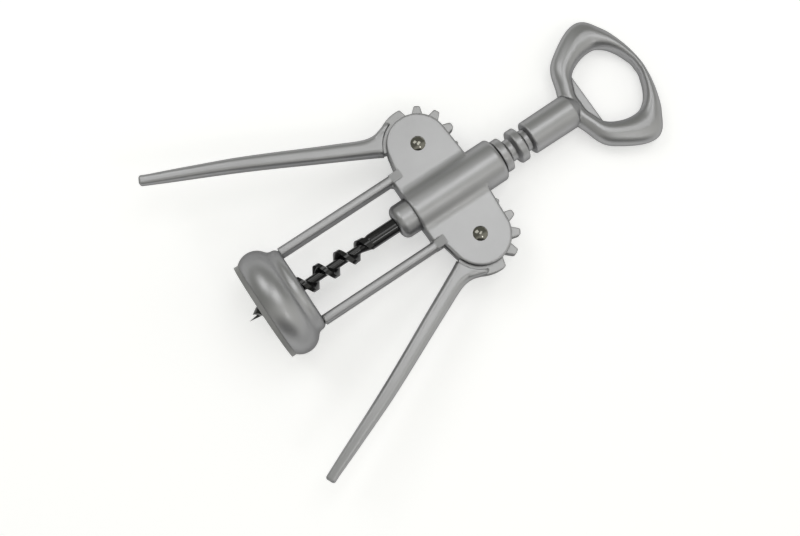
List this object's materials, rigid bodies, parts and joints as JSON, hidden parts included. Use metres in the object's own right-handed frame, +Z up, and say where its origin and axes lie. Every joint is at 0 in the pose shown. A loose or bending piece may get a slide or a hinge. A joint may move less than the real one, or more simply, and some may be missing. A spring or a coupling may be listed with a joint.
{
  "type": "wing corkscrew",
  "caption": "Wing corkscrew: a cast frame and bell, toothed levers that run in a ringed rack, a worm, and a ring handle with a crown-cap lifter.",
  "frame": {"origin": "middle of the lower face of the bell's liner, where it seats on a bottle", "axes": "X across the levers, Y along the corkscrew towards the handle, Z up as it lies on its back; the spindle slopes down 6.2 degrees towards the handle"},
  "size_m": [0.1468, 0.202, 0.0466],
  "materials": {
    "satin_casting": "satin pearl-grey plating on a zinc casting",
    "liner_plastic": "plain grey, moulded",
    "black_screw": "gloss black",
    "polished_rivet": "polished"
  },
  "bodies": {
    "frame": {"frame_body": "satin_casting", "bell": "satin_casting", "bottle_liner": "liner_plastic", "left_rivet_pin": "polished_rivet", "right_rivet_pin": "polished_rivet", "left_rivet_socket": "polished_rivet", "right_rivet_socket": "polished_rivet"},
    "rack": {"rack": "satin_casting"},
    "handle": {"handle": "satin_casting", "worm": "black_screw"},
    "left_lever": {"left_lever": "satin_casting"},
    "right_lever": {"right_lever": "satin_casting"}
  },
  "joints": [
    {"name": "spindle_slide", "type": "slide", "parent": "frame", "child": "rack", "axis": [0, 0.9942, -0.1076], "range_m": [-0.0318, 0.0056]},
    {"name": "handle_turn", "type": "hinge", "parent": "rack", "child": "handle", "pos_m": [0, 0.08928, -0.00966], "axis": [0, 0.9942, -0.1076], "continuous": true},
    {"name": "right_lever_hinge", "type": "hinge", "parent": "frame", "child": "right_lever", "pos_m": [0.0224, 0.08928, -0.00966], "axis": [0, 0.1076, 0.9942], "range_deg": [-21.7, 123.3]},
    {"name": "left_lever_hinge", "type": "hinge", "parent": "frame", "child": "left_lever", "pos_m": [-0.0224, 0.08928, -0.00966], "axis": [0, -0.1076, -0.9942], "range_deg": [-21.7, 123.3]}
  ],
  "couplings": [
    {"joint": "right_lever_hinge", "follows": "spindle_slide", "rad_per_m": -67.568},
    {"joint": "left_lever_hinge", "follows": "spindle_slide", "rad_per_m": -67.568}
  ]
}
